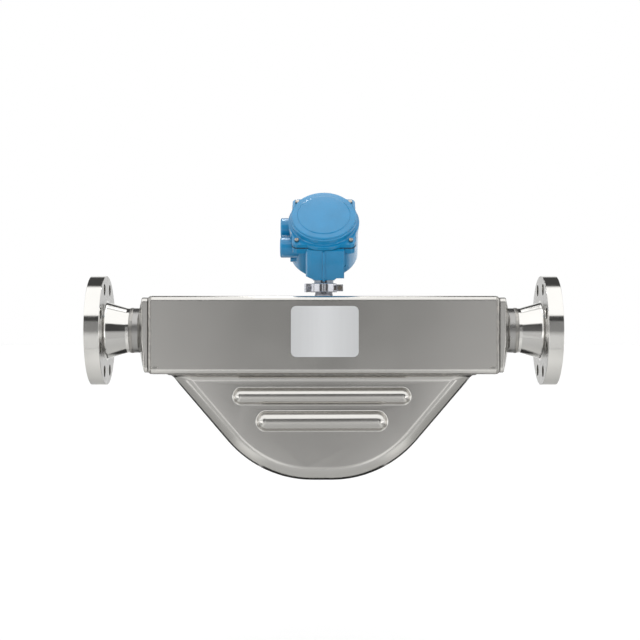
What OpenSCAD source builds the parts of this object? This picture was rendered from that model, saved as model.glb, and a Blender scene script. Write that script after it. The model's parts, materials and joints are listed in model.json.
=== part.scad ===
// Coriolis flow meter with weld-neck flanges, a drawn D-shaped case and a swivelling electronics housing.
// Frame: the origin is the centre of the inlet flange's raised face, +X runs with the flow,
// -Y is the side that carries the label and +Z is up. Millimetres.

/* [Process connections] */
// Distance between the raised faces of the two flanges
face_to_face = 896; // [890:1:930]
// Outside diameter of the 3 inch class 300 flanges
flange_od = 210; // [205:1:220]
// Diameter of the bolt circle
bolt_circle = 168.3; // [160:0.1:172]
// Number of bolt holes, which straddle the centre lines
bolt_count = 8; // [4:4:8]
// Diameter of a bolt hole
bolt_hole_d = 22.2; // [18:0.1:23]
// Thickness of a flange with its raised face
flange_t = 30.2; // [24:0.1:32]
// Diameter of the raised face
raised_face_d = 127; // [120:1:130]
// Length of a flange with its hub
hub_length = 79.4; // [75:0.1:82]
// Outside diameter of the neck that is welded to a flange
neck_od = 86; // [85:0.1:89]
// Bore of the 3 inch pipe that the meter is sized for
pipe_id = 77.9; // [74:0.1:79]

/* [Upper case] */
// Half the length of the folded case between its end welds
case_half_l = 330.5; // [326:0.5:334]
// Half the width of the case across the pipe
case_half_w = 78; // [76:0.5:84]
// Top of the case above the pipe axis
case_top = 65; // [63:0.5:70]
// Underside of the case below the pipe axis
case_bottom = 82.3; // [80:0.1:86]
// Outer radius of the case's folds
case_bend_r = 10; // [8:0.5:12]
// Thickness of the case sheet
sheet = 3; // [2:0.5:3]

/* [Drawn pan] */
// Lowest point of the pan below the pipe axis
pan_depth = 285.2; // [280:0.1:290]
// Radius of the pan's bottom corners, seen from the label side
pan_arc_r = 212; // [205:1:215]
// Half the length of the straight run at the pan's bottom
pan_flat = 18.5; // [10:0.5:25]
// Slope of the pan's straight sides from the horizontal
pan_slope = 49.5; // [48:0.5:52]
// Half the width of the pan across the pipe
pan_half_w = 56; // [54:0.5:58]
// Radius that rounds the pan's rim into its flat faces
pan_rim_r = 28; // [22:1:32]
// Radius of the bell mouth where the pan meets the case
mouth_r = 12; // [9:1:14]
// Distance of the pan's middle from the meter's, towards the inlet
pan_offset = 3.5; // [0:0.5:5]
// Thickness of the pan sheet
pan_sheet = 2.5; // [2:0.5:3]
// Overall length of the upper pressed rib
upper_rib_l = 341; // [320:1:350]
// Overall length of the lower pressed rib
lower_rib_l = 253; // [230:1:260]
// Distance of the upper rib below the pipe axis
upper_rib_z = 123.8; // [120:0.1:126]
// Distance of the lower rib below the pipe axis
lower_rib_z = 171; // [168:0.5:178]

/* [Electronics housing] */
// Lean of the housing's axis towards the label side
housing_tilt = 50; // [50:1:50]
// Radius of the housing's round wall
housing_r = 66.5; // [65:0.5:67]
// Height of housing and lid together
housing_h = 110; // [108:1:112]
// Height of the lid with its flange
lid_h = 27; // [26:0.5:28]
// Distance of each lid screw from the housing's two centre planes
screw_offset = 51.2; // [51:0.1:53]
// Outside diameter of the two conduit hubs
conduit_od = 40; // [36:1:42]
// Distance from one conduit hub's axis to the other's
conduit_pitch = 51.3; // [50:0.1:56]

/* [Flow tubes] */
// Outside diameter of a flow tube
tube_od = 42.2; // [38:0.1:43]
// Wall of a flow tube
tube_wall = 2.6; // [1.6:0.1:3]
// Distance between the two tubes' centre lines
tube_pitch = 52; // [50:0.5:54]
// Distance from the pan's straight side to the tubes' centre line
tube_inset = 55; // [50:1:60]
// Bend radius of a tube beside its manifold
tube_bend_r = 60; // [55:1:65]

/* [Hidden] */
$fn = 96;
STAINLESS = [0.62, 0.61, 0.59];
POLISHED = [0.75, 0.75, 0.74];
BEAD = [0.52, 0.50, 0.47];
BLUE = [0.13, 0.42, 0.60];
SILVER = [0.80, 0.80, 0.81];
BLACK = [0.08, 0.08, 0.09];
COPPER = [0.72, 0.45, 0.25];
GREEN = [0.12, 0.35, 0.22];
BRASS = [0.78, 0.62, 0.30];

// Process connections
neck_r = neck_od / 2;
bore_r = pipe_id / 2;
raised_face_h = 1.6;
flange_chamfer = 0.5;
hub_base_r = 53;
hub_fillet = 7;
hub_taper_end = 70.4;
weld_root = 1.6;
weld_bevel = (neck_r - bore_r - weld_root) * tan(37.5);
manifold_r = 56;
manifold_end = 134.2;
manifold_chamber = 116;
manifold_taper = 8;
socket_depth = 10;

// Case and end caps
end_band = 7;
end_turn_in = 5;
cap_inset = 3;
cap_gap = 1;
cap_root = case_half_l + cap_gap;
cap_edge_x = cap_root + 10.5;
cap_edge_r = 2.5;
cap_dome = 13.5;
cap_dome_run = 73;
cap_insets = [2.5, 8, 15, 24, 34, 44, 52];
cap_lean = 4;
cap_lean_from = -15;
cap_lean_to = -62;
stem_hole_r = 18.3;
label_w = 127;
label_h = 95.5;
label_t = 0.8;
label_x = 2;
label_z = -2;
dab_at = [317.5, -69.7];

// Pan
pan_arc_z = -(pan_depth - pan_arc_r);
pan_tangent = [pan_flat + pan_arc_r * sin(pan_slope), pan_arc_z - pan_arc_r * cos(pan_slope)];
ARC_STEPS = 14;
RIM_STEPS = 8;
MOUTH_STEPS = 6;

// Neck and clamp, as heights above the pipe axis
joint_z = 82;
clamp_half_h = 8.5;
clamp_r = 26;
ferrule_r = 23.5;
ferrule_neck_r = 16.8;
spigot_r = 12.9;
spigot_top = 90;
swivel_gap = 0.05;
wire_hole_r = 8;
collar_r = 18.75;
clamp_screw_x = 31;
clamp_pin_x = -33;

// Electronics housing, measured from the middle of the lid's top
lid_top = [0, -33, 220.2];
gasket_t = 1;
seat = lid_h + gasket_t;
cavity_r = 59;
floor_t = 103;
ear_r = 9.3;
ear_t = 15;
lid_flange_t = 9;
lid_flange_r = 68;
conduit_end = 84;
conduit_depth = 63;
conduit_hole_r = 12;
conduit_root = 67;
wire_way_r = 11;
screw_r = 3;
module_top = 76;
foot_z = 96.3;
foot_r = 21;
shank_r = 16.5;
shank_top = 105;
pad_foot_y = -19.6;
pad_lean = 33.5;
boss_at = [-40, -34, -86];
boss_end = 64.6;

// Flow tubes
tube_r = tube_od / 2;
tube_arc_r = pan_arc_r - tube_inset;
tube_tangent = [pan_flat + tube_arc_r * sin(pan_slope), pan_arc_z - tube_arc_r * cos(pan_slope)];
slope_top_x = tube_tangent.x - tube_tangent.y / tan(pan_slope);
bend_start_x = slope_top_x + tube_bend_r * tan(pan_slope / 2);
bend_end = [bend_start_x - tube_bend_r * sin(pan_slope), -tube_bend_r * (1 - cos(pan_slope))];
tube_end_x = face_to_face / 2 - manifold_end + socket_depth;
// Radius of what is seated on a tube: it clears the corners of the tube's faceted wall
seat_r = tube_r + 0.35;
BOTTOM_STEPS = 9;
BEND_STEPS = 5;
TUBE_SIDES = 16;
brace_at = [20, 58];
pickoff_at = 140;
sensor_at = 95;

// ---------------------------------------------------------------- helpers

// Points of an arc from angle a0 to angle a1 in n steps
function arc(centre, r, a0, a1, n) =
    [for (i = [0:n]) centre + r * [cos(a0 + (a1 - a0) * i / n), sin(a0 + (a1 - a0) * i / n)]];

// Closed loop of a rounded rectangle in the YZ plane, n steps to a corner
function case_loop(inset, r, n = 7) =
    let (
        w = case_half_w - inset - r,
        top = case_top - inset - r,
        low = -case_bottom + inset + r
    )
    concat(
        arc([w, top], r, 0, 90, n), arc([-w, top], r, 90, 180, n),
        arc([-w, low], r, 180, 270, n), arc([w, low], r, 270, 360, n)
    );

// A loop of the YZ plane set at x
function ring_at(loop, x) = [for (p = loop) [x, p.x, p.y]];

// Two triangles between four corners
function quad(a, b, c, d) = [[a, b, c], [a, c, d]];

// Solid skinned over rings of equal length; a closed one joins its last ring to its first
module skin(rings, closed = false) {
    n = len(rings[0]);
    m = len(rings);
    sides = [
        for (i = [0:(closed ? m - 1 : m - 2)]) for (j = [0:n - 1])
            each quad(i * n + j, ((i + 1) % m) * n + j, ((i + 1) % m) * n + (j + 1) % n, i * n + (j + 1) % n)
    ];
    ends = closed ? [] : [[for (j = [0:n - 1]) j], [for (j = [n - 1:-1:0]) (m - 1) * n + j]];
    polyhedron(points = [for (r = rings) each r], faces = concat(sides, ends), convexity = 6);
}

// Moves a piece drawn about the meter's middle into the frame
module middle() {
    translate([face_to_face / 2, 0, 0]) children();
}

// The same for a piece drawn about the pan's middle
module pan_middle() {
    translate([face_to_face / 2 - pan_offset, 0, 0]) children();
}

// Turns a piece drawn along Z from the inlet's raised face onto the pipe axis
module from_inlet() {
    rotate([0, 90, 0]) children();
}

// The same piece, seen from the outlet's raised face
module from_outlet() {
    translate([face_to_face, 0, 0]) mirror([1, 0, 0]) from_inlet() children();
}

// ---------------------------------------------------------------- process connections

module weld_neck_flange() {
    profile = concat(
        [[bore_r, 0], [raised_face_d / 2, 0], [raised_face_d / 2, raised_face_h]],
        [[flange_od / 2 - flange_chamfer, raised_face_h], [flange_od / 2, raised_face_h + flange_chamfer]],
        [[flange_od / 2, flange_t - flange_chamfer], [flange_od / 2 - flange_chamfer, flange_t]],
        arc([hub_base_r + hub_fillet, flange_t + hub_fillet], hub_fillet, 270, 190, 5),
        [[neck_r, hub_taper_end], [neck_r, hub_length - weld_bevel]],
        [[bore_r + weld_root, hub_length], [bore_r, hub_length]]
    );
    color(POLISHED) difference() {
        rotate_extrude() polygon(profile);
        for (i = [0:bolt_count - 1])
            rotate((i + 0.5) * 360 / bolt_count) translate([bolt_circle / 2, 0, -1])
                cylinder(d = bolt_hole_d, h = flange_t + 3);
    }
}

// Bead that fills the bevelled groove between flange and manifold
module butt_weld() {
    crown = 0.7;
    half_w = weld_bevel + 1.5;
    color(BEAD) rotate_extrude() translate([0, hub_length]) polygon(concat(
        [[bore_r + weld_root, 0], [neck_r, -weld_bevel], [neck_r, -half_w]],
        [for (a = [-60:30:60]) [neck_r + crown * cos(a), half_w * sin(a)]],
        [[neck_r, half_w], [neck_r, weld_bevel]]
    ));
}

// Cast flow splitter: one bore from the flange opens into two tube sockets
module manifold() {
    flare = 106;
    edge = 3;
    chamber_r = 47;
    profile = [
        [bore_r, hub_length], [bore_r + weld_root, hub_length], [neck_r, hub_length + weld_bevel],
        [neck_r, flare], [manifold_r, flare + 4], [manifold_r, manifold_end - edge],
        [manifold_r - edge, manifold_end], [0, manifold_end], [0, manifold_chamber],
        [chamber_r, manifold_chamber], [bore_r, manifold_chamber - manifold_taper]
    ];
    color(STAINLESS) difference() {
        rotate_extrude() polygon(profile);
        for (side = [-1, 1]) translate([0, side * tube_pitch / 2, 0]) {
            translate([0, 0, manifold_end - socket_depth]) cylinder(r = seat_r, h = socket_depth + 1);
            translate([0, 0, manifold_chamber - 1])
                cylinder(r = tube_r - tube_wall, h = manifold_end - manifold_chamber);
        }
    }
}

// ---------------------------------------------------------------- upper case

// One folded sheet, its ends turned in to meet the caps, open below into the pan
module folded_case() {
    stations = [
        [-case_half_l, end_turn_in], [-case_half_l + end_band, 0],
        [case_half_l - end_band, 0], [case_half_l, end_turn_in]
    ];
    outer = [for (s = stations) ring_at(case_loop(s[1], case_bend_r), s[0])];
    inner = [
        for (i = [3:-1:0])
            ring_at(case_loop(stations[i][1] + sheet, case_bend_r - sheet), stations[i][0])
    ];
    opening = [2 * (pan_mouth_x(0) - 6), 2 * (pan_half_w - 1), 2 * sheet];
    difference() {
        skin(concat(outer, inner), closed = true);
        translate([-pan_offset, 0, -case_bottom + sheet / 2]) cube(opening, center = true);
        translate([0, 0, case_top - 2 * sheet]) cylinder(r = stem_hole_r, h = 4 * sheet);
    }
}

// How far the end cap's face leans back at height z, eased in from one level to the other
function cap_fall(z) =
    let (t = max(0, min(1, (cap_lean_from - z) / (cap_lean_from - cap_lean_to))))
    cap_lean * t * t * (3 - 2 * t);

// Stations of the end cap's dome: how far in from the cap's edge, and where along the pipe
cap_table = [for (s = cap_insets) [s, cap_edge_x + cap_dome * (1 - pow(1 - s / cap_dome_run, 2))]];
function cap_x(inset) = lookup(inset, cap_table);

// Adds points to a case loop's two upright sides, which the leaning face bends along
function with_side_points(loop) =
    let (n = len(loop), half = n / 2, cuts = [0.2:0.2:0.9])
    concat(
        [for (i = [0:half - 1]) loop[i]],
        [for (t = cuts) loop[half - 1] + t * (loop[half] - loop[half - 1])],
        [for (i = [half:n - 1]) loop[i]],
        [for (t = cuts) loop[n - 1] + t * (loop[0] - loop[n - 1])]
    );

// Ring of the end cap, seen from the middle of the meter
function cap_ring(inset, x, wall, leans = 1) =
    [for (p = with_side_points(case_loop(cap_inset + inset + wall, max(case_bend_r - inset / 2 - wall, 2))))
        [x - leans * cap_fall(p.y), p.x, p.y]];

// Pressed cap with a pillow-shaped face and a hole for the manifold
module end_cap() {
    edge = cap_x(cap_edge_r) - cap_edge_r;
    last = len(cap_insets) - 1;
    outer = concat(
        [cap_ring(0, cap_root, 0, 0), cap_ring(0, edge, 0)],
        [for (a = [30, 60]) cap_ring(cap_edge_r * (1 - cos(a)), edge + cap_edge_r * sin(a), 0)],
        [for (i = [0:last]) cap_ring(cap_insets[i], cap_table[i][1], 0, i < last ? 1 : 0)]
    );
    inner = concat(
        [for (i = [last:-1:1])
            cap_ring(cap_insets[i] - sheet, cap_table[i][1] - sheet, sheet, i < last ? 1 : 0)],
        [cap_ring(0, edge - 1, sheet), cap_ring(0, cap_root, sheet, 0)]
    );
    color(STAINLESS) difference() {
        skin(concat(inner, outer), closed = true);
        translate([cap_root - 10, 0, 0]) rotate([0, 90, 0]) cylinder(r = neck_r + 0.2, h = 60);
    }
}

// Where the end cap's face lies at a point across the pipe
function cap_surface(y, z) =
    cap_x(min(case_half_w - abs(y), case_top - z, z + case_bottom) - cap_inset) - cap_fall(z);

// Fillet weld that seals the end cap to the neck; its root follows the cap's face
module cap_weld() {
    leg = 2.2;
    root = 0.4;
    sides = 48;
    foot = neck_r / cos(180 / sides) + 0.05;
    rings = [for (i = [sides:-1:1]) let (
            dir = [cos(360 * i / sides), sin(360 * i / sides)],
            near = cap_surface(foot * dir.x, foot * dir.y) + root,
            far = cap_surface((foot + leg) * dir.x, (foot + leg) * dir.y) + root
        )
        [for (p = [[foot, near], [foot + leg, far], [foot + leg * 0.7, far + leg * 0.45],
                [foot + leg * 0.35, near + leg * 0.75], [foot, near + leg]])
            [p.y, p.x * dir.x, p.x * dir.y]]];
    color(BEAD) skin(rings, closed = true);
}

// Weld that closes the gap between case and end cap, all round, in the groove between them
module case_weld() {
    overlap = 6.5;
    slope = function (x) end_turn_in * (1 + x / end_band);
    section = [
        [-overlap, slope(-overlap)], [-5, slope(-5) - 0.9], [-2, slope(-2) - 1], [0, slope(0) - 1.1],
        [cap_gap, slope(0) - 1.2], [cap_gap, cap_inset + sheet], [0, cap_inset + sheet], [0, slope(0)]
    ];
    loops = [for (s = section) ring_at(case_loop(s.y, case_bend_r), case_half_l + s.x)];
    color(BEAD) skin(loops, closed = true);
}

// Two low dabs of weld on the front face, near its lower corners
module corner_dabs() {
    // Along the case, half the height there and how far it stands out
    stations = [[-6, 0.7, 0.2], [-4.8, 1.9, 0.9], [-2.4, 2.5, 1.4], [2.4, 2.5, 1.4], [4.8, 1.9, 0.9], [6, 0.7, 0.2]];
    rings = [for (s = stations)
        [for (p = [[0, -1], [0, 1], [-0.75, 0.7], [-1, 0], [-0.75, -0.7]])
            [dab_at.x + s[0], -case_half_w + p.x * s[2], dab_at.y + p.y * s[1]]]];
    color(BEAD) {
        skin(rings);
        mirror([1, 0, 0]) skin(rings);
    }
}

// Rounded plate on the case's front; it is bare
module label() {
    r = 10;
    color(SILVER) translate([label_x, -case_half_w, label_z]) rotate([90, 0, 0]) linear_extrude(label_t) {
        square([label_w - 2 * r, label_h], center = true);
        square([label_w, label_h - 2 * r], center = true);
        for (x = [-1, 1], z = [-1, 1])
            translate([x * (label_w / 2 - r), z * (label_h / 2 - r)]) circle(r);
    }
}

// ---------------------------------------------------------------- pan

// Outline of the pan seen from the front, from the left tangent point round the bottom to the right one.
// Each entry is [angle of the outward normal, point on the outline].
pan_outline = [
    for (side = [-1, 1]) for (i = [0:ARC_STEPS])
        let (
            turn = side < 0 ? pan_slope * (1 - i / ARC_STEPS) : pan_slope * i / ARC_STEPS,
            a = -90 + side * turn
        )
        [a, [side * pan_flat, pan_arc_z] + pan_arc_r * [cos(a), sin(a)]]
];

// Rim angle of row j: 0 on the two rows of the straight wall, then up to 90 at the flat face
function rim_angle(j) = j < 2 ? 0 : 90 * (j - 1) / RIM_STEPS;

// Depth of row j across the pipe, for a surface set in by o
function rim_y(j, o) = j == 0 ? 0 : -(pan_half_w - pan_rim_r) - (pan_rim_r - o) * sin(rim_angle(j));

// How far row j lies inside the outline, for a surface set in by o
function rim_inset(j, o) = o + (pan_rim_r - o) * (1 - cos(rim_angle(j)));

// Half the length of the pan's straight sides, carried up to the case, for a row set in by inset
function pan_mouth_x(inset, z = -case_bottom) =
    pan_tangent.x + (z - pan_tangent.y) / tan(pan_slope) - inset / sin(pan_slope);

// Bell mouth at row j on the right-hand end: the points from the wall round to the case's underside
function mouth_arc(j, o) =
    let (
        a = rim_angle(j),
        r = mouth_r + o,
        top = -case_bottom - pan_sheet + o,
        normal = [cos(a) * sin(pan_slope), -sin(a)],
        h = normal / norm(normal),
        wall = acos(cos(a) * cos(pan_slope)),
        run = r * tan(wall / 2),
        corner = [pan_mouth_x(rim_inset(j, o), top), rim_y(j, o), top],
        start = corner - run * sin(wall) * [1 / tan(pan_slope), 0, 1],
        swing = function (t) corner + [h.x, h.y, 0] * (run - r * sin(t)) + [0, 0, -r * (1 - cos(t))],
        shift = start - swing(wall)
    )
    [for (k = [0:MOUTH_STEPS]) swing(wall * (1 - k / MOUTH_STEPS)) + shift * pow(1 - k / MOUTH_STEPS, 2)];

function flip_x(p) = [-p.x, p.y, p.z];

// One skin of a pan half: the rim's columns, each a list of rows
function rim_columns(o) = concat(
    [[for (j = [0:RIM_STEPS + 1]) flip_x(mouth_arc(j, o)[0])]],
    [for (c = pan_outline) [for (j = [0:RIM_STEPS + 1])
        let (p = c[1] - rim_inset(j, o) * [cos(c[0]), sin(c[0])]) [p.x, rim_y(j, o), p.y]]],
    [[for (j = [0:RIM_STEPS + 1]) mouth_arc(j, o)[0]]]
);

// The bell mouth's perimeter from the left seam to the right one, each entry running up to the case
function mouth_columns(o) = concat(
    [for (j = [0:RIM_STEPS + 1]) [for (p = mouth_arc(j, o)) flip_x(p)]],
    [for (j = [RIM_STEPS + 1:-1:0]) mouth_arc(j, o)]
);

// Points of one skin: the rim's columns, then what the bell mouth adds beyond the rim
function pan_points(o) = concat(
    [for (c = rim_columns(o)) each c],
    [for (c = mouth_columns(o)) for (k = [1:MOUTH_STEPS]) c[k]]
);

// Drawn half of the pan, without its ribs
module pan_shell() {
    rows = RIM_STEPS + 2;
    columns = 2 * (ARC_STEPS + 1) + 2;
    mouths = 2 * rows;
    skin_size = columns * rows + mouths * MOUTH_STEPS;
    rim = function (i, j) i * rows + j;
    // The mouth's first row is the rim's own end column
    mouth = function (m, k) k > 0 ? columns * rows + m * MOUTH_STEPS + k - 1
        : m < rows ? rim(0, m) : rim(columns - 1, mouths - 1 - m);
    outside = concat(
        [for (i = [0:columns - 2]) for (j = [0:rows - 2])
            each quad(rim(i, j), rim(i, j + 1), rim(i + 1, j + 1), rim(i + 1, j))],
        [for (m = [0:mouths - 2]) for (k = [0:MOUTH_STEPS - 1])
            each quad(mouth(m, k), mouth(m, k + 1), mouth(m + 1, k + 1), mouth(m + 1, k))],
        [[for (i = [0:columns - 1]) rim(i, rows - 1)]]
    );
    // The open edge: up the left end, down the seam's other side is closed by the inner skin
    edge = concat(
        [for (i = [0:columns - 1]) rim(i, 0)],
        [for (k = [1:MOUTH_STEPS]) mouth(mouths - 1, k)],
        [for (m = [mouths - 2:-1:0]) mouth(m, MOUTH_STEPS)],
        [for (k = [MOUTH_STEPS - 1:-1:1]) mouth(0, k)]
    );
    n = len(edge);
    lip = [for (e = [0:n - 1])
        each quad(edge[e], edge[(e + 1) % n], edge[(e + 1) % n] + skin_size, edge[e] + skin_size)];
    inside = [for (f = outside) [for (i = [len(f) - 1:-1:0]) f[i] + skin_size]];
    polyhedron(
        points = concat(pan_points(0), pan_points(pan_sheet)),
        faces = concat(outside, lip, inside), convexity = 8
    );
}

// Ribs as length, distance below the pipe axis, crest radius and fillet radius
ribs = [[upper_rib_l, upper_rib_z, 15, 4], [lower_rib_l, lower_rib_z, 18, 4]];
rib_turn = 74;
rib_root = -6;

// Half section of a pressed rib: a crest arc that runs out in two fillets
function rib_section(crest_r, fillet_r, lift) =
    let (half = (crest_r + fillet_r) * sin(rib_turn), rise = (crest_r + fillet_r) * (1 - cos(rib_turn)))
    concat(
        [[0, rib_root]], [[half, rib_root]],
        [for (i = [0:4]) let (t = rib_turn * i / 4) [half - fillet_r * sin(t), lift + fillet_r * (1 - cos(t))]],
        [for (i = [1:7]) let (t = rib_turn * (1 - i / 7)) [crest_r * sin(t), lift + rise - crest_r * (1 - cos(t))]]
    );

// Solid of a rib with round ends, raised along Z
module rib_form(length, crest_r, fillet_r, lift) {
    section = rib_section(crest_r, fillet_r, lift);
    run = length / 2 - (crest_r + fillet_r) * sin(rib_turn);
    for (side = [-1, 1]) translate([side * run, 0, 0]) rotate_extrude($fn = 72) polygon(section);
    translate([-run, 0, 0]) rotate([90, 0, 90]) linear_extrude(2 * run)
        polygon(concat(section, [for (i = [len(section) - 2:-1:1]) [-section[i].x, section[i].y]]));
}

// Places a rib on the front face of the pan
module on_pan_face(z) {
    translate([0, -pan_half_w, -z]) rotate([90, 0, 0]) children();
}

// Front half of the pan with its two ribs pressed outward
module pan_half() {
    color(STAINLESS) difference() {
        union() {
            pan_shell();
            for (r = ribs) on_pan_face(r[1]) rib_form(r[0], r[2], r[3], 0);
        }
        for (r = ribs) on_pan_face(r[1]) rib_form(r[0], r[2] - pan_sheet, r[3] + pan_sheet, -pan_sheet);
    }
}

// Low bead along the joint between the two pan halves, from bell mouth to bell mouth
module seam_weld() {
    section = [[-2.6, 0], [-1.6, 0.9], [0, 1.2], [1.6, 0.9], [2.6, 0]];
    end_z = -case_bottom - mouth_r - 4;
    rings = [for (c = pan_outline) [for (s = section)
        let (p = c[1] + s.y * [cos(c[0]), sin(c[0])]) [p.x, s.x, p.y]]];
    side = [for (s = section)
        let (p = [pan_mouth_x(0, end_z), end_z] + s.y * [sin(pan_slope), -cos(pan_slope)])
            [p.x, s.x, p.y]];
    color(BEAD) skin(concat([[for (p = side) flip_x(p)]], rings, [side]));
}

// Bead between the pan's bell mouth and the underside of the case, all round
module mouth_weld() {
    root = 0.4;
    section = [
        [root, -pan_sheet - 0.2], [1.4, -pan_sheet + 0.5], [2.5, -1.1], [3, 0], [root, 0]
    ];
    last = RIM_STEPS + 1;
    // Section at row j of one corner; sx and sy tell which corner
    ring = function (j, sx, sy)
        let (
            p = mouth_arc(j, 0)[MOUTH_STEPS],
            a = rim_angle(j),
            normal = [cos(a) * sin(pan_slope), -sin(a)],
            h = normal / norm(normal)
        )
        [for (s = section) [sx * (p.x + h.x * s.x), sy * (p.y + h.y * s.x), -case_bottom + s.y]];
    color(BEAD) skin(concat(
        [for (j = [0:last]) ring(j, 1, 1)], [for (j = [last:-1:0]) ring(j, -1, 1)],
        [for (j = [1:last]) ring(j, -1, -1)], [for (j = [last:-1:1]) ring(j, 1, -1)]
    ), closed = true);
}

// ---------------------------------------------------------------- flow tubes

// Stations along half a tube's centre line, from the middle to the socket: [x, z, slope there]
tube_stations = concat(
    [for (i = [0:BOTTOM_STEPS]) let (a = pan_slope * i / BOTTOM_STEPS)
        [pan_flat + tube_arc_r * sin(a), pan_arc_z - tube_arc_r * cos(a), a]],
    [for (i = [BEND_STEPS:-1:0]) let (a = pan_slope * i / BEND_STEPS)
        [bend_start_x - tube_bend_r * sin(a), -tube_bend_r * (1 - cos(a)), a]],
    [[tube_end_x, 0, 0]]
);

// Ring of a tube's wall across its centre line
function tube_ring(station, r) = [
    for (i = [0:TUBE_SIDES - 1]) let (a = 360 * (i + 0.5) / TUBE_SIDES)
        [station[0] - r * cos(a) * sin(station[2]), -r * sin(a), station[1] + r * cos(a) * cos(station[2])]
];

// One bent tube from socket to socket
module flow_tube() {
    // Corners lie outside the true circle, so that the faceted wall keeps its area
    swell = 1 / sqrt(sin(360 / TUBE_SIDES) * TUBE_SIDES / 360 * 180 / PI);
    left = [for (i = [len(tube_stations) - 1:-1:0]) let (s = tube_stations[i]) [-s[0], s[1], -s[2]]];
    stations = concat(left, tube_stations);
    wall = function (r) [for (s = stations) tube_ring(s, r * swell)];
    bore = wall(tube_r - tube_wall);
    color(POLISHED) skin(concat(wall(tube_r), [for (i = [len(bore) - 1:-1:0]) bore[i]]), closed = true);
}

// Puts a piece on the tubes' right-hand slope, s from its upper end: X runs up it, Z points outward
module on_slope(s) {
    d = (tube_tangent - bend_end) / norm(tube_tangent - bend_end);
    p = bend_end + s * d;
    translate([p.x, 0, p.y]) rotate([0, -pan_slope, 0]) mirror([0, 0, 1]) children();
}

// Plate that ties the two tubes together
module brace_bar() {
    t = 4;
    r = tube_r + 3.6;
    color(STAINLESS) rotate([0, 90, 0]) translate([0, 0, -t / 2]) linear_extrude(t) difference() {
        union() {
            for (side = [-1, 1]) translate([0, side * tube_pitch / 2]) circle(r);
            square([1.4 * r, tube_pitch], center = true);
        }
        for (side = [-1, 1]) translate([0, side * tube_pitch / 2]) circle(seat_r);
    }
}

// Coil and magnet sit outside the tubes, on the middle plane
coil_r = 10.5;
coil_drop = tube_r + coil_r + 3;
bracket_y = 14;
bracket_t = 3.5;

// Wound bobbin with a bore for the magnet, fixed to the rear bracket
module coil() {
    rim = 1.6;
    color(COPPER) translate([0, 0, coil_drop]) rotate([-90, 0, 0]) rotate_extrude() polygon([
        [6.2, 0], [coil_r, 0], [coil_r, rim], [coil_r - rim, rim], [coil_r - rim, 12 - rim],
        [coil_r, 12 - rim], [coil_r, bracket_y], [0, bracket_y], [0, 12], [6.2, 12]
    ]);
}

// Magnet on its keeper, fixed to the front bracket and reaching into the coil
module magnet() {
    color(SILVER) translate([0, 0, coil_drop]) rotate([90, 0, 0]) {
        translate([0, 0, bracket_y - 5]) cylinder(r = coil_r - 1, h = 5);
        translate([0, 0, -8]) cylinder(r = 5, h = bracket_y + 3);
    }
}

// Bracket plate that is saddled to the outside of a tube; side is +1 for the rear tube
module sensor_bracket(side) {
    color(STAINLESS) difference() {
        translate([-10, side > 0 ? bracket_y : -bracket_y - bracket_t, tube_r - 8])
            cube([20, bracket_t, coil_drop + coil_r - tube_r + 7]);
        translate([-20, side * tube_pitch / 2, 0]) rotate([0, 90, 0]) cylinder(r = seat_r, h = 40);
    }
}

// Puts a piece under the middle of the tubes, with Z pointing down
module at_drive() {
    translate([0, 0, -(tube_arc_r - pan_arc_z)]) mirror([0, 0, 1]) children();
}

// Resistance thermometer in a block that is saddled to the inside of the rear tube
module temperature_block() {
    color(BRASS) difference() {
        translate([-14, tube_pitch / 2 - 5, -tube_r - 5]) cube([28, 10, 9]);
        translate([-20, tube_pitch / 2, 0]) rotate([0, 90, 0]) cylinder(r = seat_r, h = 40);
    }
}

// ---------------------------------------------------------------- neck and clamp

// Turned stem: it stands in the case, carries the lower ferrule and guides the housing on its spigot
module stem() {
    color(STAINLESS) rotate_extrude() polygon([
        [wire_hole_r, 55], [stem_hole_r, 55], [stem_hole_r, case_top + 1], [ferrule_neck_r, 71],
        [ferrule_neck_r, joint_z - 4.2], [ferrule_r, joint_z - 2.4], [ferrule_r, joint_z - 0.1],
        [spigot_r, joint_z - 0.1], [spigot_r, 84.6], [spigot_r - 1.65, 84.6],
        [spigot_r - 1.65, 86.6], [spigot_r, 86.6], [spigot_r, spigot_top - 0.8],
        [spigot_r - 0.8, spigot_top], [wire_hole_r, spigot_top]
    ]);
}

module o_ring() {
    color(BLACK) rotate_extrude() translate([spigot_r - 0.85, 85.6]) circle(r = 0.8, $fn = 24);
}

// Sealed plug in the stem's foot with its contact pins
module feedthrough_plug() {
    pin_ring = 4.6;
    color(BRASS) {
        translate([0, 0, 57]) cylinder(r = wire_hole_r, h = 5);
        for (i = [0:7]) rotate(i * 45) translate([pin_ring, 0, 51]) cylinder(r = 0.7, h = 18);
    }
}

// Section of the clamp ring: a groove that draws the two ferrules together
module clamp_ring() {
    gap = 0.3;
    rotate_extrude() polygon([
        [collar_r - 1.2, joint_z - clamp_half_h], [clamp_r - 1, joint_z - clamp_half_h],
        [clamp_r, joint_z - clamp_half_h + 1], [clamp_r, joint_z + clamp_half_h - 1],
        [clamp_r - 1, joint_z + clamp_half_h], [collar_r - 1.2, joint_z + clamp_half_h],
        [collar_r - 1.2, joint_z + 4.2 + gap], [ferrule_r + gap, joint_z + 2.4 + gap],
        [ferrule_r + gap, joint_z - 2.4 - gap], [collar_r - 1.2, joint_z - 4.2 - gap]
    ]);
}

lug = [13, 9.5, 13];
lug_x = 24.1;
knuckle_r = 4.6;
knuckle_edge = 2.9;

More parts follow.
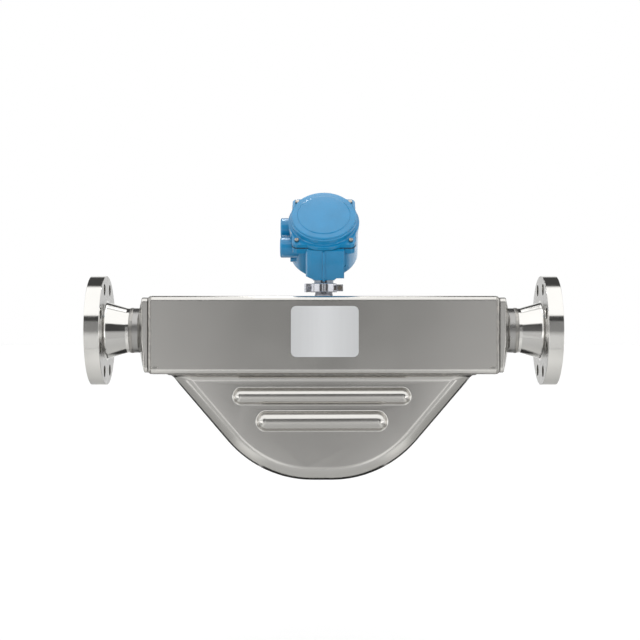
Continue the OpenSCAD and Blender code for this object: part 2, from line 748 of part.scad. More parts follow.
// The half of the clamp on the label side, with the outer knuckles of the hinge
module clamp_half_front() {
    color(SILVER) difference() {
        union() {
            difference() {
                clamp_ring();
                translate([-60, -0.6, 0]) cube([120, 60, 120]);
            }
            translate([lug_x, -0.6 - lug.y, joint_z - lug.z / 2]) cube(lug);
            for (s = [-1, 1]) translate([clamp_pin_x, 0, joint_z + s * (knuckle_edge + 2.7)]) {
                cylinder(r = knuckle_r, h = 5.2, center = true);
                translate([0, -knuckle_r, -2.6]) cube([8.5, knuckle_r - 0.6, 5.2]);
            }
        }
        translate([clamp_screw_x, 1, joint_z]) rotate([90, 0, 0]) cylinder(r = 3.2, h = 20);
        translate([clamp_pin_x, 0, joint_z - 12]) cylinder(r = 2.1, h = 24);
    }
}

// The half of the clamp behind it, with the middle knuckle and the threaded lug
module clamp_half_rear() {
    color(SILVER) difference() {
        union() {
            difference() {
                clamp_ring();
                translate([-60, -59.4, 0]) cube([120, 60, 120]);
            }
            translate([lug_x, 0.6, joint_z - lug.z / 2]) cube(lug);
            translate([clamp_pin_x, 0, joint_z]) {
                cylinder(r = knuckle_r, h = 2 * knuckle_edge, center = true);
                translate([0, 0.6, -knuckle_edge]) cube([8.5, knuckle_r - 0.6, 2 * knuckle_edge]);
            }
        }
        translate([clamp_screw_x, 20, joint_z]) rotate([90, 0, 0]) cylinder(r = 3, h = 20);
        translate([clamp_pin_x, 0, joint_z - 12]) cylinder(r = 2.1, h = 24);
    }
}

module socket_screw() {
    head_h = 6;
    color(SILVER) translate([clamp_screw_x, -0.6 - lug.y, joint_z]) rotate([90, 0, 0]) difference() {
        union() {
            cylinder(r = 5, h = head_h - 0.6);
            translate([0, 0, head_h - 0.6]) cylinder(r1 = 5, r2 = 4.4, h = 0.6);
            translate([0, 0, -20]) cylinder(r = 3, h = 20);
        }
        translate([0, 0, 2.6]) cylinder(r = 2.9, h = head_h, $fn = 6);
    }
}

module hinge_pin() {
    color(SILVER) translate([clamp_pin_x, 0, joint_z - 8.4]) cylinder(r = 2.1, h = 16.8);
}

// ---------------------------------------------------------------- electronics housing

// Puts a piece drawn with Z out of the lid, and its top at 0, onto the tilted axis
module at_housing() {
    translate(lid_top) rotate([housing_tilt, 0, 0]) children();
}

// Round flange with four screw ears, seen along the housing's axis
module ear_outline(r, ear = ear_r) {
    circle(r);
    square([2 * (screw_offset + ear), 2 * screw_offset], center = true);
    square([2 * screw_offset, 2 * (screw_offset + ear)], center = true);
    at_screws() circle(ear);
}

module at_screws() {
    for (x = [-1, 1], y = [-1, 1]) translate([x * screw_offset, y * screw_offset, 0]) children();
}

// Outside of the casting below the lid
module housing_outside() {
    base_r = 7;
    rotate_extrude() polygon(concat(
        [[0, -seat], [housing_r, -seat]],
        arc([housing_r - base_r, -housing_h + base_r], base_r, 0, -90, 5),
        [[0, -housing_h]]
    ));
    translate([0, 0, -seat - ear_t]) linear_extrude(ear_t) ear_outline(housing_r);
}

// Foot of the casting: it stands on the ferrule, and its leaning front carries two pads and a ridge.
// Seen from the front it is a plate with its lower corners cut away.
module housing_pads() {
    front = [
        [-34.5, 160], [-34.5, 104], [-17.6, foot_z], [20, foot_z], [24, foot_z + 3.5], [39, foot_z + 3.5], [39, 160]
    ];
    pads = [
        [-34.5, 60], [-34.5, 9.5], [-31.5, 4.5], [-24.5, 2], [0, 0.2], [0, 0], [37.5, 0], [39, 1.5], [39, 60]
    ];
    ridge = [[-2.5, 5], [-2.5, -1.2], [-1.4, -2.4], [1.4, -2.4], [2.5, -1.2], [2.5, 5]];
    difference() {
        union() {
            intersection() {
                translate([0, 6, 0]) rotate([90, 0, 0]) linear_extrude(80) polygon(front);
                on_pads() translate([0, 0, -40]) linear_extrude(120) polygon(pads);
            }
            on_pads() translate([0, 0, -1.5]) linear_extrude(80) polygon(ridge);
        }
        // Room below the joint with the lid
        at_housing() translate([-60, -120, -seat - 0.5]) cube([120, 240, 80]);
        at_housing() translate([-3, -70.5, -seat - 4]) cube([6, 2.6, 8]);
    }
}

// Puts a piece on the pads' plane: X across, Z up along it and Y into the casting
module on_pads() {
    translate([0, pad_foot_y, foot_z]) rotate([pad_lean, 0, 0]) children();
}

// Puts a piece drawn along Z onto the axis of each conduit hub, running out along -X
module at_conduits() {
    for (side = [-1, 1]) translate([0, side * conduit_pitch / 2, -conduit_depth]) rotate([0, -90, 0]) children();
}

// Threaded ends of the two conduit hubs, their mouths turned in a little. They stop at a shoulder
// on the hubs' roots, which belong to the casting.
module conduit_ends() {
    r = conduit_od / 2;
    color(BLUE) at_housing() at_conduits() rotate_extrude() polygon([
        [conduit_hole_r, conduit_root], [r, conduit_root], [r, conduit_end - 3], [r - 0.9, conduit_end - 0.9],
        [r - 3, conduit_end], [conduit_hole_r, conduit_end]
    ]);
}

// Steel ferrule on the meter's own axis: pressed into the casting, it turns on the spigot
module ferrule() {
    socket_r = spigot_r + swivel_gap;
    color(STAINLESS) rotate_extrude() polygon([
        [socket_r, joint_z + 0.1], [ferrule_r, joint_z + 0.1], [ferrule_r, joint_z + 2.4],
        [ferrule_neck_r, joint_z + 4.2], [ferrule_neck_r, joint_z + clamp_half_h],
        [collar_r, joint_z + clamp_half_h + 0.6], [collar_r, foot_z], [shank_r, foot_z],
        [shank_r, shank_top], [wire_hole_r, shank_top], [wire_hole_r, spigot_top + 0.5],
        [socket_r, spigot_top + 0.5]
    ]);
}

module housing() {
    color(BLUE) difference() {
        union() {
            at_housing() {
                housing_outside();
                at_conduits() cylinder(d = conduit_od, h = conduit_root);
                // Boss for the outer ground screw
                translate(boss_at) rotate([0, -90, 0]) cylinder(r = 6, h = boss_end + boss_at.x);
            }
            housing_pads();
            translate([0, 0, foot_z]) cylinder(r = foot_r, h = shank_top + 10 - foot_z);
        }
        at_housing() {
            translate([0, 0, -floor_t]) cylinder(r = cavity_r, h = floor_t);
            at_conduits() cylinder(r = wire_way_r, h = conduit_root + 1);
            at_screws() translate([0, 0, -seat - 13]) cylinder(r = screw_r + 0.1, h = 20);
            // Threaded hole beside the pads
            rotate(-52) translate([61, 0, -87]) rotate([0, 90, 0]) cylinder(r = 2, h = 20);
            // Counterbore of the outer ground screw
            translate([-boss_end + 3, boss_at.y, boss_at.z]) rotate([0, -90, 0]) cylinder(r = 4.4, h = 5);
        }
        // Seat of the ferrule and the wire hole above it
        translate([0, 0, foot_z - 5]) cylinder(r = collar_r + 0.1, h = 5);
        translate([0, 0, foot_z - 1]) cylinder(r = shank_r + 0.1, h = shank_top + 0.1 - foot_z + 1);
        translate([0, 0, foot_z]) cylinder(r = wire_hole_r, h = 27);
    }
}

module gasket() {
    color(BLACK) at_housing() translate([0, 0, -seat]) linear_extrude(gasket_t) difference() {
        ear_outline(housing_r, ear_r - 0.8);
        circle(cavity_r);
        at_screws() circle(screw_r + 0.3);
    }
}

// Stepped round lid, hollow below, on a flange with four ears
module lid() {
    inner_r = 56;
    profile = concat(
        [[0, 1.5], [48.8, 1.5], [49.6, 1.2], [50.8, 0], [59.8, 0], [61, -0.6], [61.6, -1.8]],
        [[61.6, -4.2], [63.2, -4.8], [63.8, -6], [63.8, -7.6], [62.6, -9]],
        arc([64.8, -15.8], 2.2, 180, 270, 4),
        [[lid_flange_r - 0.8, -18], [lid_flange_r, -18.8], [lid_flange_r, -lid_h], [inner_r, -lid_h]],
        [[inner_r, -8], [inner_r - 3, -5], [0, -5]]
    );
    color(BLUE) at_housing() difference() {
        union() {
            rotate_extrude() polygon(profile);
            translate([0, 0, -lid_h]) linear_extrude(lid_flange_t) difference() {
                ear_outline(inner_r + 4);
                circle(inner_r + 2);
            }
        }
        at_screws() translate([0, 0, -lid_h - 1]) cylinder(r = screw_r + 0.2, h = 20);
    }
}

module captive_screws() {
    head_r = 4.2;
    head_base = -lid_h + lid_flange_t;
    color(SILVER) at_housing() at_screws() difference() {
        union() {
            translate([0, 0, head_base]) cylinder(r = head_r, h = 4.6);
            translate([0, 0, head_base + 4.6]) cylinder(r1 = head_r, r2 = head_r - 0.7, h = 0.7);
            translate([0, 0, -seat - 12]) cylinder(r = screw_r, h = 12 + gasket_t + lid_flange_t);
        }
        translate([-0.7, -6, head_base + 3.6]) cube([1.4, 12, 3]);
    }
}

// Potted electronics on the housing's floor
module electronics_core() {
    color(BLACK) at_housing() difference() {
        rotate_extrude() polygon([
            [0, -floor_t], [46, -floor_t], [46, -module_top - 2], [44, -module_top], [38, -module_top],
            [38, -module_top - 1.5], [0, -module_top - 1.5]
        ]);
        for (i = [0:2]) rotate(30 + i * 120) translate([41, 0, -module_top - 12]) cylinder(r = 1.6, h = 14);
    }
}

module core_screws() {
    color(SILVER) at_housing() for (i = [0:2]) rotate(30 + i * 120) translate([41, 0, 0]) difference() {
        union() {
            translate([0, 0, -module_top - 12]) cylinder(r = 1.6, h = 12);
            translate([0, 0, -module_top]) cylinder(r = 2.8, h = 2.2);
        }
        translate([-4, -0.4, -module_top + 1.2]) cube([8, 0.8, 2]);
    }
}

block = [46, 16, 13];
block_pitch = 10.5;

// Terminal block with four wire entries, fixed on the core
module terminals() {
    color(GREEN) at_housing() translate([0, 4, -module_top - 1.5]) difference() {
        translate([-block.x / 2, -block.y / 2, 0]) cube(block);
        for (i = [-1.5:1.5]) translate([i * block_pitch, 0, 0]) {
            translate([-3, -block.y / 2 - 1, 2]) cube([6, 7, 5]);
            translate([0, 1.5, block.z - 4]) cylinder(r = 2.6, h = 5);
        }
    }
}

module terminal_clamp_screws() {
    color(SILVER) at_housing() for (i = [-1.5:1.5])
        translate([i * block_pitch, 5.5, -module_top - 1.5 + block.z - 4]) difference() {
            cylinder(r = 2.6, h = 2.6);
            translate([-4, -0.4, 1.8]) cube([8, 0.8, 2]);
        }
}

// Inner ground screw on the floor and outer one on its boss
module earth_screws() {
    color(SILVER) at_housing() {
        translate([0, -52.2, -floor_t]) {
            cylinder(r = 3.6, h = 3.4);
            translate([0, 0, 3.4]) cylinder(r = 2, h = 2);
        }
        translate([-boss_end + 3, boss_at.y, boss_at.z]) rotate([0, -90, 0]) difference() {
            cylinder(r = 4.2, h = 3);
            translate([-6, -0.5, 1.8]) cube([12, 1, 2]);
        }
    }
}

// ---------------------------------------------------------------- parts

from_inlet() weld_neck_flange();  // inlet_flange
from_outlet() weld_neck_flange();  // outlet_flange
from_inlet() butt_weld();  // inlet_butt_weld
from_outlet() butt_weld();  // outlet_butt_weld
from_inlet() manifold();  // inlet_manifold
from_outlet() manifold();  // outlet_manifold
middle() mirror([1, 0, 0]) cap_weld();  // inlet_cap_weld
middle() cap_weld();  // outlet_cap_weld
middle() color(STAINLESS) folded_case();  // upper_case
middle() mirror([1, 0, 0]) end_cap();  // inlet_end_cap
middle() end_cap();  // outlet_end_cap
middle() mirror([1, 0, 0]) case_weld();  // inlet_case_weld
middle() case_weld();  // outlet_case_weld
pan_middle() pan_half();  // front_pan
pan_middle() mirror([0, 1, 0]) pan_half();  // rear_pan
pan_middle() seam_weld();  // pan_seam_weld
pan_middle() mouth_weld();  // pan_mouth_weld
middle() corner_dabs();  // corner_weld_dabs
middle() label();  // label_plate
middle() translate([0, -tube_pitch / 2, 0]) flow_tube();  // front_flow_tube
middle() translate([0, tube_pitch / 2, 0]) flow_tube();  // rear_flow_tube
middle() mirror([1, 0, 0]) on_slope(brace_at[0]) brace_bar();  // inlet_outer_brace
middle() mirror([1, 0, 0]) on_slope(brace_at[1]) brace_bar();  // inlet_inner_brace
middle() on_slope(brace_at[0]) brace_bar();  // outlet_outer_brace
middle() on_slope(brace_at[1]) brace_bar();  // outlet_inner_brace
middle() at_drive() coil();  // drive_coil
middle() at_drive() magnet();  // drive_magnet
middle() at_drive() sensor_bracket(1);  // drive_coil_bracket
middle() at_drive() sensor_bracket(-1);  // drive_magnet_bracket
middle() mirror([1, 0, 0]) on_slope(pickoff_at) coil();  // inlet_pickoff_coil
middle() mirror([1, 0, 0]) on_slope(pickoff_at) magnet();  // inlet_pickoff_magnet
middle() mirror([1, 0, 0]) on_slope(pickoff_at) sensor_bracket(1);  // inlet_coil_bracket
middle() mirror([1, 0, 0]) on_slope(pickoff_at) sensor_bracket(-1);  // inlet_magnet_bracket
middle() on_slope(pickoff_at) coil();  // outlet_pickoff_coil
middle() on_slope(pickoff_at) magnet();  // outlet_pickoff_magnet
middle() on_slope(pickoff_at) sensor_bracket(1);  // outlet_coil_bracket
middle() on_slope(pickoff_at) sensor_bracket(-1);  // outlet_magnet_bracket
middle() mirror([1, 0, 0]) on_slope(sensor_at) temperature_block();  // temperature_sensor
middle() stem();  // neck_stem
middle() feedthrough_plug();  // feedthrough
middle() o_ring();  // neck_o_ring
middle() clamp_half_front();  // clamp_front
middle() clamp_half_rear();  // clamp_rear
middle() socket_screw();  // clamp_screw
middle() hinge_pin();  // clamp_hinge_pin
middle() ferrule();  // housing_ferrule
middle() housing();  // electronics_housing
middle() conduit_ends();  // conduit_hubs
middle() gasket();  // lid_gasket
middle() lid();  // housing_lid
middle() captive_screws();  // lid_screws
middle() electronics_core();  // core_module
middle() core_screws();  // module_screws
middle() terminals();  // terminal_block
middle() terminal_clamp_screws();  // terminal_screws
middle() earth_screws();  // ground_screws
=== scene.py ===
import json
import math

import bmesh
import bpy
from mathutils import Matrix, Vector, noise


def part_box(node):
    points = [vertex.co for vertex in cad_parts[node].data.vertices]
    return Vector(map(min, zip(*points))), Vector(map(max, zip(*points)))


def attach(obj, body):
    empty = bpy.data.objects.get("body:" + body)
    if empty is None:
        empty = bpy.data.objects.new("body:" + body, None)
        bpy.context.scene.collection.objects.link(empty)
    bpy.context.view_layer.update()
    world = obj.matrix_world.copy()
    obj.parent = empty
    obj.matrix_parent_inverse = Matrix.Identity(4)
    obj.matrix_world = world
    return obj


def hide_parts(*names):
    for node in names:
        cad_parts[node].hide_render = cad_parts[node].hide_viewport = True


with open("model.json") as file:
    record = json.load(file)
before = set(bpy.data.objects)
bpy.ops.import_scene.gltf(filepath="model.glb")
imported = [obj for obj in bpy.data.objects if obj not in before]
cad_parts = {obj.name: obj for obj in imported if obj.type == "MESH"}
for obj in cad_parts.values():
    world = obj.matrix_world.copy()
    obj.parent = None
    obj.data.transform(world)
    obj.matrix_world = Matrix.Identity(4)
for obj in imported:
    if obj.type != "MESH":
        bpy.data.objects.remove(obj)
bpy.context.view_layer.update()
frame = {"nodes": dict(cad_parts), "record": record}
nodes = frame["nodes"]
MM = 0.001

# The inlet's raised face is at X = 0, and the outlet's is the far side of its flange
mid_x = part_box("outlet_flange")[1].x / 2


# ---------------------------------------------------------------- node helpers

def feed(tree, socket, value):
    """Gives an input a number, vector or RGB colour, or links it to another node's output."""
    if isinstance(value, bpy.types.NodeSocket):
        tree.links.new(value, socket)
    elif isinstance(value, tuple):
        socket.default_value = (*value, 1)
    else:
        socket.default_value = value


def add(tree, kind, **values):
    """A node with its properties and inputs set by name, with _ for each space in an input's name."""
    node = tree.nodes.new(kind)
    for key, value in values.items():
        if hasattr(node, key):
            setattr(node, key, value)
        else:
            feed(tree, node.inputs[key.replace("_", " ")], value)
    return node


def new_material(name, **values):
    """A material, its tree and its Principled shader, whose inputs with one value all over are set by name."""
    material = bpy.data.materials.new(name)
    material.use_nodes = True
    tree = material.node_tree
    shader = tree.nodes["Principled BSDF"]
    for key, value in values.items():
        feed(tree, shader.inputs[key.replace("_", " ")], value)
    return material, tree, shader


def math_node(tree, operation, *values):
    node = add(tree, "ShaderNodeMath", operation=operation)
    for socket, value in zip(node.inputs, values):
        feed(tree, socket, value)
    return node.outputs[0]


def times(tree, a, b):
    return math_node(tree, "MULTIPLY", a, b)


def ranged(tree, value, first, last, start=0.3, stop=0.7):
    """Runs from first to last while value runs from start to stop, and stays there outside them."""
    return add(tree, "ShaderNodeMapRange", Value=value, From_Min=start, From_Max=stop,
               To_Min=first, To_Max=last).outputs[0]


def mixed(tree, factor, a, b, data_type="RGBA"):
    """Blend of two colours, or of two numbers where data_type is FLOAT. Each may be a link."""
    node = add(tree, "ShaderNodeMix", data_type=data_type)
    kind = {"RGBA": "RGBA", "FLOAT": "VALUE"}[data_type]
    for name, socket_kind, value in (("Factor", "VALUE", factor), ("A", kind, a), ("B", kind, b)):
        socket = next(entry for entry in node.inputs if entry.name == name and entry.type == socket_kind)
        feed(tree, socket, value)
    return next(entry for entry in node.outputs if entry.type == kind)


def object_coordinates(tree):
    return add(tree, "ShaderNodeTexCoord").outputs["Object"]


def axes(tree, vector=None):
    """X, Y and Z of a vector, or of the place on the object where none is given."""
    return add(tree, "ShaderNodeSeparateXYZ", Vector=vector or object_coordinates(tree)).outputs


def from_middle(tree):
    """Distance along the pipe from the meter's middle."""
    return math_node(tree, "ABSOLUTE", math_node(tree, "SUBTRACT", axes(tree)["X"], mid_x))


def noise_value(tree, scale, detail, stretch=(1, 1, 1)):
    """Procedural noise between 0 and 1 in object space; a stretch below 1 draws it out along that axis."""
    mapping = add(tree, "ShaderNodeMapping", Vector=object_coordinates(tree), Scale=Vector(stretch))
    texture = add(tree, "ShaderNodeTexNoise", Vector=mapping.outputs[0], Scale=scale, Detail=detail)
    return texture.outputs["Fac"]


def cloudy_colour(tree, shader, scale, detail, dark, light):
    clouds = ranged(tree, noise_value(tree, scale, detail), 0, 1)
    feed(tree, shader.inputs["Base Color"], mixed(tree, clouds, dark, light))


def cloudy_roughness(tree, shader, scale, smooth, rough):
    feed(tree, shader.inputs["Roughness"], ranged(tree, noise_value(tree, scale, 3.0), smooth, rough))


def bump(tree, shader, height, depth, before=None, radius=None):
    """Bump of depth mm. It is laid over an earlier one, or over edges that are rounded by a radius in mm."""
    node = add(tree, "ShaderNodeBump", Height=height, Strength=1.0, Distance=depth * MM)
    if before is None and radius:
        before = add(tree, "ShaderNodeBevel", samples=6, Radius=radius * MM).outputs[0]
    if before is not None:
        feed(tree, node.inputs["Normal"], before)
    feed(tree, shader.inputs["Normal"], node.outputs[0])
    return node.outputs[0]


def shade(colour, factor):
    return tuple(min(1.0, part * factor) for part in colour)


# ---------------------------------------------------------------- materials
# Lengths are in mm, and noise scales count waves per metre

def satin_steel(name, colour, roughness=0.22, tint=0.012, grain=0.006):
    """Blasted sheet: fine grain, cloudy patches where it was handled, long shallow waves from the roll."""
    material, tree, shader = new_material(name, Metallic=1.0)
    cloudy_colour(tree, shader, 9.0, 4.0, shade(colour, 1 - tint), shade(colour, 1 + tint))
    cloudy_roughness(tree, shader, 12.0, roughness - 0.015, roughness + 0.015)
    waves = bump(tree, shader, noise_value(tree, 5.0, 1.0), 0.4)
    bump(tree, shader, noise_value(tree, 900.0, 2.0), grain, before=waves)
    return material


def turned_steel(name, colour, roughness=0.09, pitch=0.6, depth=0.008):
    """Machined about the pipe axis: fine rings run round it. The faces across the axis are turned with a
    coarser feed, and are duller."""
    material, tree, shader = new_material(name, Metallic=1.0)
    place = axes(tree)
    squares = [math_node(tree, "POWER", place[axis], 2.0) for axis in "YZ"]
    radius = math_node(tree, "SQRT", math_node(tree, "ADD", *squares))
    along = math_node(tree, "ADD", radius, place["X"])
    rings = math_node(tree, "SINE", times(tree, along, 2 * math.pi / (pitch * MM)))
    normal = axes(tree, add(tree, "ShaderNodeNewGeometry").outputs["Normal"])
    across = ranged(tree, math_node(tree, "ABSOLUTE", normal["X"]), 0, 1, 0.85, 0.95)
    clouds = math_node(tree, "SUBTRACT", 1.0, times(tree, noise_value(tree, 14.0, 4.0), 0.12))
    bright = times(tree, clouds, ranged(tree, across, 1.0, 0.55, 0.0, 1.0))
    feed(tree, shader.inputs["Base Color"], mixed(tree, bright, (0, 0, 0), shade(colour, 1.06)))
    duller = ranged(tree, across, 0.0, 0.17, 0.0, 1.0)
    uneven = ranged(tree, noise_value(tree, 40.0, 4.0), roughness - 0.02, roughness + 0.04)
    feed(tree, shader.inputs["Roughness"], math_node(tree, "ADD", duller, uneven))
    grooves = bump(tree, shader, rings, depth, radius=0.5)
    bump(tree, shader, noise_value(tree, 700.0, 2.0), 0.01, before=grooves)
    return material


def cast_steel(name, colour, roughness=0.16, depth=0.06):
    """Investment casting, tumbled bright: faint pebbling."""
    material, tree, shader = new_material(name, Metallic=1.0)
    cloudy_colour(tree, shader, 60.0, 3.0, shade(colour, 0.93), colour)
    cloudy_roughness(tree, shader, 90.0, roughness - 0.05, roughness + 0.07)
    bump(tree, shader, noise_value(tree, 260.0, 3.0), depth, radius=0.6)
    return material


def printed_plate(name, colour):
    """Silver label stock: a satin metallic ink under a thin clear film, with a faint vertical brushing and a
    painted sheen: the base colour is paler in the middle of the plate."""
    material, tree, shader = new_material(name, Metallic=0.35, Coat_Weight=0.5, Coat_Roughness=0.15)
    brushed = times(tree, noise_value(tree, 260.0, 3.0, stretch=(1.0, 1.0, 0.04)), 0.2)
    # Painted sheen: the base colour is made paler toward the middle of the plate
    paler = times(tree, ranged(tree, from_middle(tree), 1, 0, 0.0, 0.075), 0.8)
    silver = mixed(tree, math_node(tree, "ADD", paler, brushed), shade(colour, 0.80), shade(colour, 1.03))
    feed(tree, shader.inputs["Base Color"], silver)
    cloudy_roughness(tree, shader, 30.0, 0.30, 0.36)
    bump(tree, shader, noise_value(tree, 40.0, 2.0), 0.05, radius=0.4)
    return material


def weld_metal(name, colour, roughness):
    """Brushed weld bead: bright crests with a trace of heat tint, and dull grey hollows."""
    material, tree, shader = new_material(name, Metallic=1.0)
    warm = (colour[0] * 1.02, colour[1] * 0.99, colour[2] * 0.95)
    cloudy_colour(tree, shader, 150.0, 4.0, shade(colour, 0.72), warm)
    cloudy_roughness(tree, shader, 240.0, roughness - 0.09, roughness + 0.09)
    bump(tree, shader, noise_value(tree, 420.0, 3.0), 0.2)
    return material


def gloss_paint(name, colour):
    """Powder coat on a casting: orange peel under a clear gloss, a little paler where it is thin."""
    material, tree, shader = new_material(name, Specular_IOR_Level=0.2, Coat_Weight=1.0, Coat_Roughness=0.13)
    cloudy_colour(tree, shader, 30.0, 4.0, shade(colour, 0.93), shade(colour, 1.07))
    cloudy_roughness(tree, shader, 55.0, 0.34, 0.42)
    casting = bump(tree, shader, noise_value(tree, 45.0, 2.0), 0.2, radius=0.6)
    bump(tree, shader, noise_value(tree, 420.0, 2.0), 0.03, before=casting)
    return material


def plain_solid(name, colour, roughness, metallic=0.0, grain=600.0, depth=0.04, ring_pitch=None):
    """Rubber, plastic, potting or plated parts: mottled, with a fine grain or windings about the Y axis."""
    material, tree, shader = new_material(name, Metallic=metallic)
    cloudy_colour(tree, shader, 80.0, 3.0, shade(colour, 0.88), shade(colour, 1.08))
    cloudy_roughness(tree, shader, 130.0, roughness - 0.06, roughness + 0.06)
    if ring_pitch:
        height = math_node(tree, "SINE", times(tree, axes(tree)["Y"], 2 * math.pi / (ring_pitch * MM)))
    else:
        height = noise_value(tree, grain, 2.0)
    bump(tree, shader, height, depth, radius=0.3)
    return material


CASE_COLOUR = (0.60, 0.588, 0.562)
MATERIALS = {
    "case_stainless": satin_steel("satin_case_steel", CASE_COLOUR),
    "machined_stainless": turned_steel("turned_flange_steel", (0.70, 0.69, 0.665)),
    "weld_bead": weld_metal("weld_metal", (0.46, 0.455, 0.44), 0.38),
    "blue_paint": gloss_paint("blue_gloss_paint", (0.006, 0.195, 0.40)),
    "clamp_stainless": cast_steel("bright_cast_steel", (0.68, 0.69, 0.74)),
    "label_silver": printed_plate("silver_label", (0.64, 0.65, 0.66)),
    "black_rubber": plain_solid("black_rubber", (0.012, 0.013, 0.015), 0.6),
    "tube_stainless": satin_steel("drawn_tube_steel", (0.68, 0.67, 0.65), roughness=0.25),
    "copper_winding": plain_solid("copper_winding", (0.62, 0.27, 0.12), 0.32, metallic=1.0, depth=0.15,
                                  ring_pitch=0.6),
    "magnet_plating": plain_solid("nickel_plate", (0.66, 0.65, 0.62), 0.2, metallic=1.0, depth=0.01),
    "brass_fitting": plain_solid("turned_brass", (0.66, 0.46, 0.18), 0.28, metallic=1.0, depth=0.01),
    "potting_black": plain_solid("potting_compound", (0.016, 0.017, 0.02), 0.42, grain=90.0, depth=0.3),
    "terminal_green": plain_solid("moulded_green", (0.03, 0.16, 0.07), 0.4),
    "screw_steel": cast_steel("turned_screw_steel", (0.34, 0.31, 0.28), roughness=0.2, depth=0.02),
}

# Nodes whose finish differs a little from that of their slot
pan_steel = satin_steel("drawn_pan_steel", CASE_COLOUR, roughness=0.20)
neck_steel = satin_steel("brushed_neck_steel", (0.36, 0.355, 0.345), roughness=0.28, tint=0.10, grain=0.03)
FINISHES = {
    # The rim's seam weld is darker partly as heat tint and partly as painted shade that draws the dark outline
    # along the pan's rim
    "pan_seam_weld": weld_metal("oxidised_weld_with_painted_rim_shade", (0.24, 0.235, 0.225), 0.45),
    "pan_mouth_weld": weld_metal("brushed_mouth_weld", (0.40, 0.395, 0.38), 0.42),
    "front_pan": pan_steel,
    "rear_pan": pan_steel,
    "inlet_manifold": neck_steel,
    "outlet_manifold": neck_steel,
    # The collar's dark bluish grey is partly its own colour and partly painted shade under the housing
    "housing_ferrule": cast_steel("cast_collar_steel_with_painted_shade", (0.24, 0.28, 0.33)),
    "neck_stem": cast_steel("turned_stem_steel", (0.26, 0.265, 0.29)),
}

# Nodes made of flat facets that stand for curved sheet, and the sharpest bend in degrees that is shaded round
FACETED = {
    "front_pan": 40, "rear_pan": 40, "upper_case": 40, "inlet_end_cap": 38, "outlet_end_cap": 38,
    "front_flow_tube": 50, "rear_flow_tube": 50
}
# Points closer than this are one point, in mm
MERGE_DISTANCE = 0.01


def smoothing():
    """Geometry nodes that close a faceted mesh's seams and shade it round where it bends less than Angle."""
    group = bpy.data.node_groups.new("smooth_facets", "GeometryNodeTree")
    group.interface.new_socket("Geometry", in_out="INPUT", socket_type="NodeSocketGeometry")
    group.interface.new_socket("Angle", in_out="INPUT", socket_type="NodeSocketFloat")
    group.interface.new_socket("Geometry", in_out="OUTPUT", socket_type="NodeSocketGeometry")
    start = add(group, "NodeGroupInput").outputs
    bend = add(group, "GeometryNodeInputMeshEdgeAngle").outputs["Unsigned Angle"]
    sharper = math_node(group, "GREATER_THAN", bend, start["Angle"])
    steps = [
        add(group, "GeometryNodeRemoveAttribute", Name="custom_normal"),
        add(group, "GeometryNodeMergeByDistance", Distance=MERGE_DISTANCE * MM),
        add(group, "GeometryNodeSetShadeSmooth"),
        add(group, "GeometryNodeSetShadeSmooth", domain="EDGE", Selection=sharper, Shade_Smooth=False)
    ]
    shape = start["Geometry"]
    for step in steps:
        feed(group, step.inputs["Geometry"], shape)
        shape = step.outputs["Geometry"]
    add(group, "NodeGroupOutput", Geometry=shape)
    return group


def dress_cad_nodes():
    slot_of = {part["node"]: part["material_slot"] for part in frame["record"]["subparts"]}
    group = smoothing()
    for name, node in nodes.items():
        node.data.materials.clear()
        node.data.materials.append(FINISHES.get(name, MATERIALS[slot_of[name]]))
        if name in FACETED:
            modifier = node.modifiers.new("smooth_facets", "NODES")
            modifier.node_group = group
            modifier[group.interface.items_tree["Angle"].identifier] = math.radians(FACETED[name])
            # The large flat faces stay flat, and the small ones round their edges carry the bend
            weighted = node.modifiers.new("flat_faces_first", "WEIGHTED_NORMAL")
            weighted.weight = 100
            weighted.keep_sharp = True


# ---------------------------------------------------------------- pieces

def skinned(name, rings, material):
    """Mesh piece over closed rings of points, the last ring joined to the first."""
    count, width = len(rings), len(rings[0])
    mesh = bpy.data.meshes.new(name)
    faces = [(i * width + j, i * width + (j + 1) % width, (i + 1) % count * width + (j + 1) % width,
              (i + 1) % count * width + j) for i in range(count) for j in range(width)]
    mesh.from_pydata([point for ring in rings for point in ring], [], faces)
    mesh.materials.append(material)
    mesh.shade_smooth()
    build = bmesh.new()
    build.from_mesh(mesh)
    bmesh.ops.recalc_face_normals(build, faces=build.faces)
    build.to_mesh(mesh)
    build.free()
    piece = bpy.data.objects.new(name, mesh)
    bpy.context.collection.objects.link(piece)
    return piece


# Radius of the case's long edges, in mm
CASE_CORNER = 10


def case_outline(step):
    """Points a step apart round the case's rounded outline: Y and Z, the Y and Z of the outward direction, and
    the distance walked so far."""
    corner_low, corner_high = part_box("upper_case")
    radius = CASE_CORNER * MM
    half, top, bottom = corner_high.y - radius, corner_high.z - radius, corner_low.z + radius

    def outward(y, z, degrees):
        a = math.radians(degrees)
        return y + radius * math.cos(a), z + radius * math.sin(a), math.cos(a), math.sin(a)

    corners = [(half, top, 0), (-half, top, 90), (-half, bottom, 180), (half, bottom, 270)]
    turns = max(2, round(radius * math.pi / 2 / step))
    points = []
    for (y, z, start), (next_y, next_z, _) in zip(corners, corners[1:] + corners[:1]):
        points += [outward(y, z, start + 90 * i / turns) for i in range(turns)]
        steps = max(2, round(math.hypot(next_y - y, next_z - z) / step))
        points += [outward(y + (next_y - y) * i / steps, z + (next_z - z) * i / steps, start + 90)
                   for i in range(steps)]
    walked = [0.0]
    for here, there in zip(points, points[1:]):
        walked.append(walked[-1] + math.hypot(there[0] - here[0], there[1] - here[1]))
    return [(*point, distance) for point, distance in zip(points, walked)]


